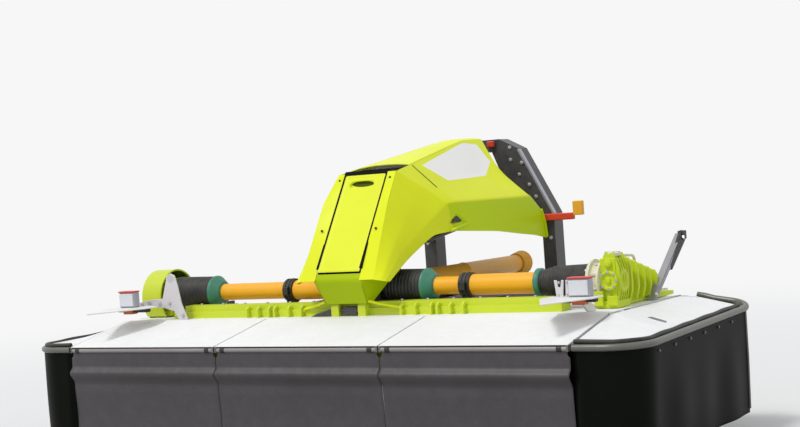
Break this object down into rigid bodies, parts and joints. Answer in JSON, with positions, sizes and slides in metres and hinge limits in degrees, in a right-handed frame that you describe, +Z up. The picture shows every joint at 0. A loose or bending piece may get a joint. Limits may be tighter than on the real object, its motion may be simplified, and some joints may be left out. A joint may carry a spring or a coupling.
{
  "type": "front disc mower conditioner",
  "caption": "Front-mounted disc mower with tined conditioner, folding side covers, curtains, arched hood and three-point headstock.",
  "frame": {"origin": "centre of the footprint's bounding box on the floor", "axes": "+Z up, -Y the mowing direction, +X the machine's left side"},
  "size_m": [3.936, 2.8, 1.757],
  "materials": {
    "lime_paint": "satin",
    "anthracite_paint": "satin",
    "lime_plastic": "gloss",
    "white_cloth": "matte",
    "curtain_rubber": "matte",
    "black_plastic": "matte",
    "yellow_plastic": "satin",
    "zinc_steel": "satin",
    "grey_tube": "satin",
    "red_paint": "satin",
    "black_paint": "gloss"
  },
  "bodies": {
    "frame": {"cutterbar": "anthracite_paint", "skid_shoes": "zinc_steel", "side_plates": "lime_paint", "conditioner_hood": "anthracite_paint", "deck_cover": "white_cloth", "main_beam": "lime_paint", "gearbox_centre": "anthracite_paint", "gearbox_left": "lime_paint", "gearbox_right": "lime_paint", "shaft_tubes": "yellow_plastic", "shaft_guards": "black_plastic", "shaft_clamps": "black_plastic", "drum_guard": "lime_paint", "lamps": "zinc_steel", "fold_struts": "zinc_steel", "boom": "anthracite_paint", "lower_arms": "anthracite_paint", "hood_side_left": "lime_plastic", "hood_side_right": "lime_plastic", "hood_top": "lime_plastic", "hood_front": "lime_plastic", "headstock": "anthracite_paint", "lever": "red_paint", "input_shaft": "anthracite_paint", "input_guard": "yellow_plastic", "front_cover_left": "white_cloth", "front_cover_middle": "white_cloth", "front_cover_right": "white_cloth", "float_cylinders": "black_paint", "hoses": "black_plastic"},
    "disc_1": {"disc_1": "anthracite_paint"},
    "disc_2": {"disc_2": "anthracite_paint"},
    "disc_3": {"disc_3": "anthracite_paint"},
    "disc_4": {"disc_4": "anthracite_paint"},
    "disc_5": {"disc_5": "anthracite_paint"},
    "disc_6": {"disc_6": "anthracite_paint"},
    "disc_7": {"disc_7": "anthracite_paint"},
    "disc_8": {"disc_8": "anthracite_paint"},
    "rotor": {"rotor": "lime_paint"},
    "front_curtain_left": {"front_curtain_left": "curtain_rubber"},
    "front_curtain_middle": {"front_curtain_middle": "curtain_rubber"},
    "front_curtain_right": {"front_curtain_right": "curtain_rubber"},
    "side_cover_left": {"side_frame_left": "grey_tube", "side_cover_left": "white_cloth", "side_curtain_left": "curtain_rubber"},
    "swath_board_left": {"swath_board_left": "lime_paint"},
    "stand_left": {"stand_left": "anthracite_paint"},
    "side_cover_right": {"side_frame_right": "grey_tube", "side_cover_right": "white_cloth", "side_curtain_right": "curtain_rubber"},
    "swath_board_right": {"swath_board_right": "lime_paint"},
    "stand_right": {"stand_right": "anthracite_paint"},
    "hood_flap": {"hood_flap": "lime_plastic"}
  },
  "joints": [
    {"name": "disc_1_spin", "type": "hinge", "parent": "frame", "child": "disc_1", "pos_m": [-1.435, -0.86, 0.11], "axis": [0, 0, 1], "continuous": true},
    {"name": "disc_2_spin", "type": "hinge", "parent": "frame", "child": "disc_2", "pos_m": [-1.025, -0.86, 0.11], "axis": [0, 0, 1], "continuous": true},
    {"name": "disc_3_spin", "type": "hinge", "parent": "frame", "child": "disc_3", "pos_m": [-0.615, -0.86, 0.11], "axis": [0, 0, 1], "continuous": true},
    {"name": "disc_4_spin", "type": "hinge", "parent": "frame", "child": "disc_4", "pos_m": [-0.205, -0.86, 0.11], "axis": [0, 0, 1], "continuous": true},
    {"name": "disc_5_spin", "type": "hinge", "parent": "frame", "child": "disc_5", "pos_m": [0.205, -0.86, 0.11], "axis": [0, 0, 1], "continuous": true},
    {"name": "disc_6_spin", "type": "hinge", "parent": "frame", "child": "disc_6", "pos_m": [0.615, -0.86, 0.11], "axis": [0, 0, 1], "continuous": true},
    {"name": "disc_7_spin", "type": "hinge", "parent": "frame", "child": "disc_7", "pos_m": [1.025, -0.86, 0.11], "axis": [0, 0, 1], "continuous": true},
    {"name": "disc_8_spin", "type": "hinge", "parent": "frame", "child": "disc_8", "pos_m": [1.435, -0.86, 0.11], "axis": [0, 0, 1], "continuous": true},
    {"name": "rotor_spin", "type": "hinge", "parent": "frame", "child": "rotor", "pos_m": [0, -0.36, 0.43], "axis": [1, 0, 0], "continuous": true},
    {"name": "front_curtain_left_lift", "type": "hinge", "parent": "frame", "child": "front_curtain_left", "pos_m": [0, -1.387, 0.639], "axis": [-1, 0, 0], "range_deg": [0, 110]},
    {"name": "front_curtain_middle_lift", "type": "hinge", "parent": "frame", "child": "front_curtain_middle", "pos_m": [0, -1.387, 0.639], "axis": [-1, 0, 0], "range_deg": [0, 110]},
    {"name": "front_curtain_right_lift", "type": "hinge", "parent": "frame", "child": "front_curtain_right", "pos_m": [0, -1.387, 0.639], "axis": [-1, 0, 0], "range_deg": [0, 110]},
    {"name": "side_cover_left_fold", "type": "hinge", "parent": "frame", "child": "side_cover_left", "pos_m": [1.618, -0.59, 0.752], "axis": [0, -1, 0], "range_deg": [0, 90]},
    {"name": "side_cover_right_fold", "type": "hinge", "parent": "frame", "child": "side_cover_right", "pos_m": [-1.618, -0.59, 0.752], "axis": [0, 1, 0], "range_deg": [0, 90]},
    {"name": "hood_flap_open", "type": "hinge", "parent": "frame", "child": "hood_flap", "pos_m": [0, -0.914, 1.026], "axis": [1, 0, 0], "range_deg": [0, 75]},
    {"name": "swath_board_left_turn", "type": "hinge", "parent": "frame", "child": "swath_board_left", "pos_m": [1.18, 0.25, 0.48], "axis": [0, 0, 1], "range_deg": [-14, 22]},
    {"name": "swath_board_right_turn", "type": "hinge", "parent": "frame", "child": "swath_board_right", "pos_m": [-1.18, 0.25, 0.48], "axis": [0, 0, -1], "range_deg": [-14, 22]},
    {"name": "stand_left_slide", "type": "slide", "parent": "frame", "child": "stand_left", "axis": [0, 0, 1], "range_m": [0, 0.4]},
    {"name": "stand_right_slide", "type": "slide", "parent": "frame", "child": "stand_right", "axis": [0, 0, 1], "range_m": [0, 0.4]}
  ],
  "couplings": [
    {"joint": "disc_2_spin", "follows": "disc_1_spin", "ratio": -1},
    {"joint": "disc_3_spin", "follows": "disc_1_spin", "ratio": 1},
    {"joint": "disc_4_spin", "follows": "disc_1_spin", "ratio": -1},
    {"joint": "disc_5_spin", "follows": "disc_1_spin", "ratio": 1},
    {"joint": "disc_6_spin", "follows": "disc_1_spin", "ratio": -1},
    {"joint": "disc_7_spin", "follows": "disc_1_spin", "ratio": 1},
    {"joint": "disc_8_spin", "follows": "disc_1_spin", "ratio": -1}
  ]
}
